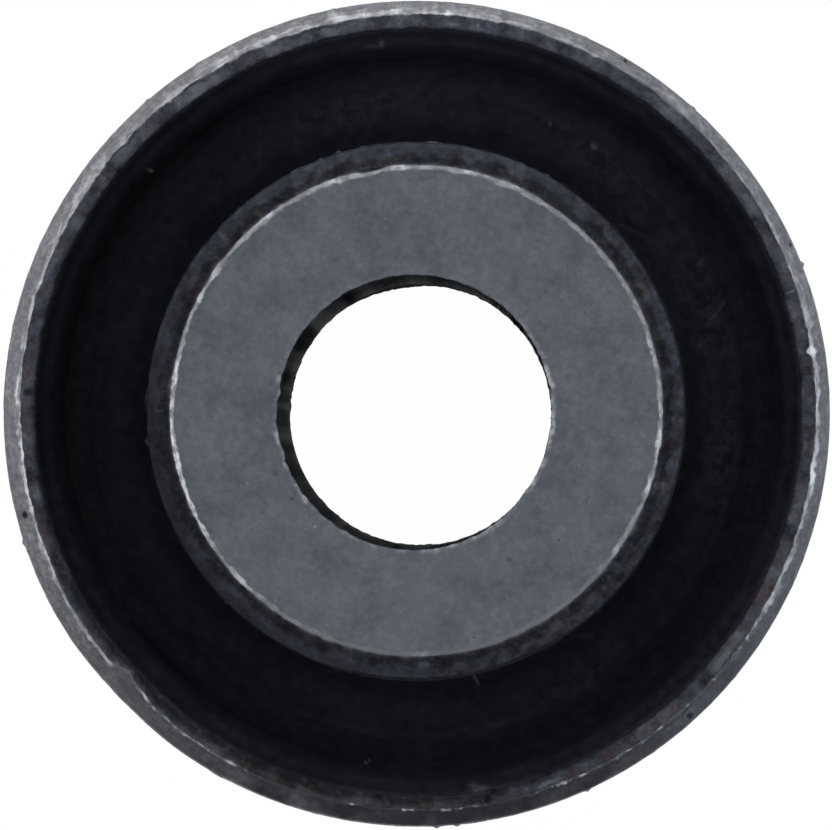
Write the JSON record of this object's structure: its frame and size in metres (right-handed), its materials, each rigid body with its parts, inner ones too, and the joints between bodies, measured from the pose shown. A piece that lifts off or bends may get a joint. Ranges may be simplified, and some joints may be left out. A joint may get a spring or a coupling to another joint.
{
  "type": "rubber metal bush",
  "caption": "Bonded rubber bush: a thick steel inner sleeve with a through bore, rubber moulded round it, and a thin steel outer sleeve for pressing into an eye.",
  "frame": {"origin": "centre of the lower end face of the inner sleeve, on the bore axis; the bush stands on that face", "axes": "+Z along the common axis of both sleeves, upward out of the bore; X and Y are any two directions square to it, as the bush is round"},
  "size_m": [0.036, 0.036, 0.05],
  "materials": {
    "inner_sleeve": "matte",
    "rubber_body": "matte",
    "outer_sleeve": "matte"
  },
  "bodies": {
    "root": {"inner_sleeve": "inner_sleeve", "rubber_body": "rubber_body", "outer_sleeve": "outer_sleeve"}
  },
  "joints": []
}
